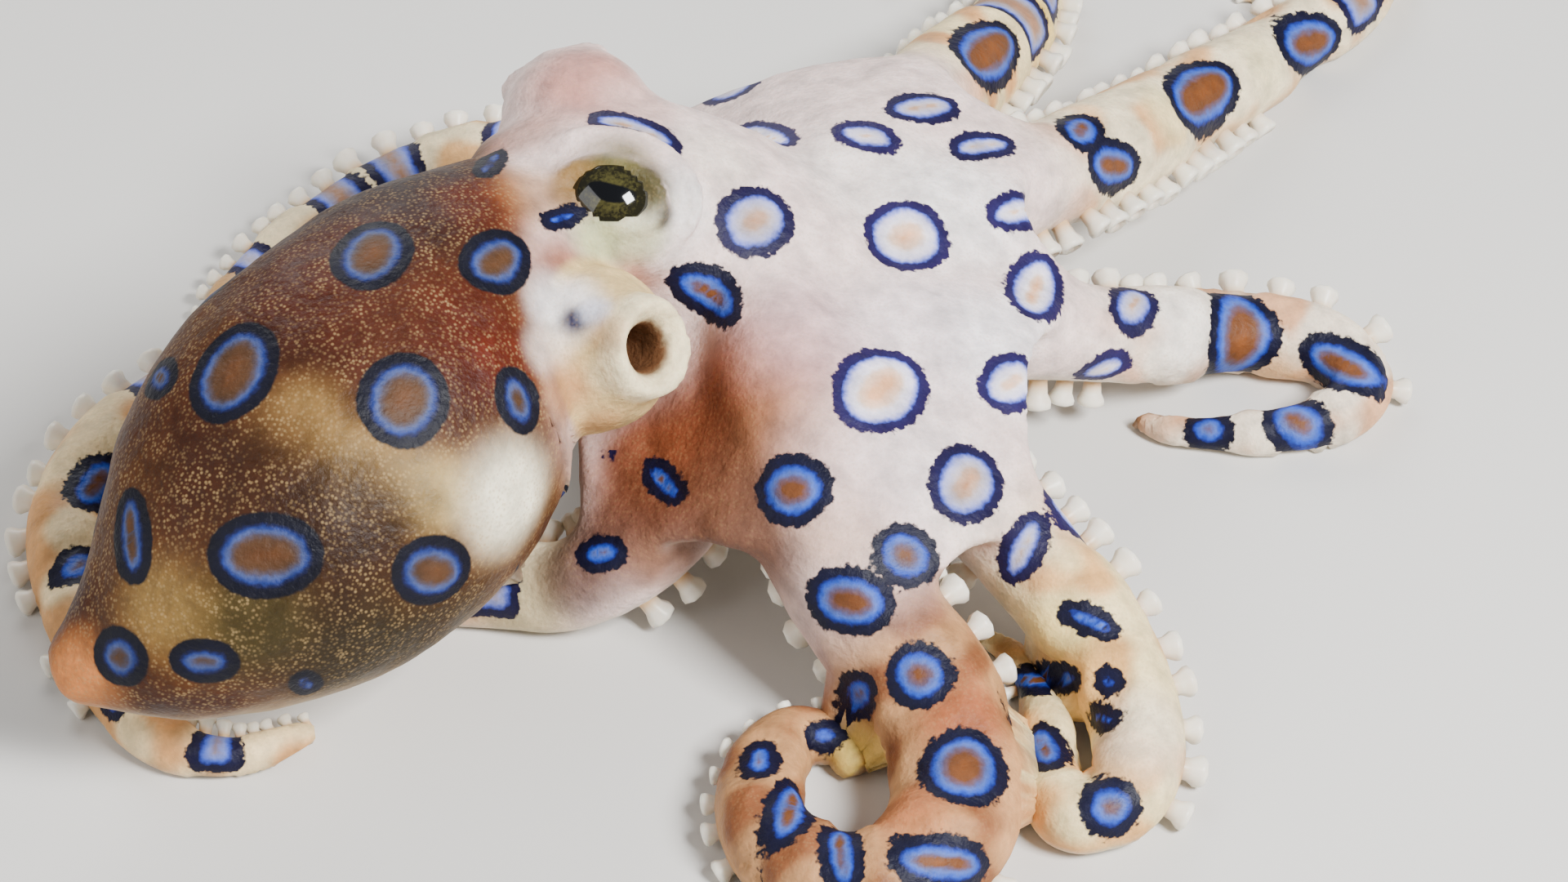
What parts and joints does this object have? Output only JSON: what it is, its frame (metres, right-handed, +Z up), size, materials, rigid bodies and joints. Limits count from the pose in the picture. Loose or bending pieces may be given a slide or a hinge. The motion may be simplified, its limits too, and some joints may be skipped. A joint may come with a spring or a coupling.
{
  "type": "blue-ringed octopus model",
  "caption": "Still life-size blue-ringed octopus resting on curled arms, mantle carried back and to one side, with webbed crown, suckers, funnel and raised eyes.",
  "frame": {"origin": "middle of the footprint, at floor level", "axes": "+Z up, +X from the mantle towards the crown of arms, -Y towards the side that the picture shows"},
  "size_m": [0.1016, 0.1099, 0.0289],
  "materials": {
    "mantle_skin": "soft moist skin, tan with blue rings",
    "arm_skin": "soft moist skin, pale with blue rings and bands",
    "funnel_skin": "soft moist cream skin",
    "eye": "wet, glossy"
  },
  "bodies": {
    "root": {"arm_l1_curl": "arm_skin", "arm_l1_lower": "arm_skin", "arm_l1_middle": "arm_skin", "arm_l1_root": "arm_skin", "arm_l1_tip": "arm_skin", "arm_l1_upper": "arm_skin", "arm_l2_curl": "arm_skin", "arm_l2_lower": "arm_skin", "arm_l2_middle": "arm_skin", "arm_l2_root": "arm_skin", "arm_l2_upper": "arm_skin", "arm_l3_lower": "arm_skin", "arm_l3_middle": "arm_skin", "arm_l3_root": "arm_skin", "arm_l3_upper": "arm_skin", "arm_l4_curl": "arm_skin", "arm_l4_lower": "arm_skin", "arm_l4_middle": "arm_skin", "arm_l4_root": "arm_skin", "arm_l4_tip": "arm_skin", "arm_l4_upper": "arm_skin", "arm_r1_curl": "arm_skin", "arm_r1_lower": "arm_skin", "arm_r1_middle": "arm_skin", "arm_r1_root": "arm_skin", "arm_r1_upper": "arm_skin", "arm_r2_lower": "arm_skin", "arm_r2_middle": "arm_skin", "arm_r2_root": "arm_skin", "arm_r2_upper": "arm_skin", "arm_r3_curl": "arm_skin", "arm_r3_lower": "arm_skin", "arm_r3_middle": "arm_skin", "arm_r3_root": "arm_skin", "arm_r3_upper": "arm_skin", "arm_r4_middle": "arm_skin", "arm_r4_root": "arm_skin", "arm_r4_upper": "arm_skin", "eye_left": "eye", "eye_right": "eye", "funnel": "funnel_skin", "head": "mantle_skin", "mantle": "mantle_skin", "mouth": "funnel_skin"}
  },
  "joints": []
}
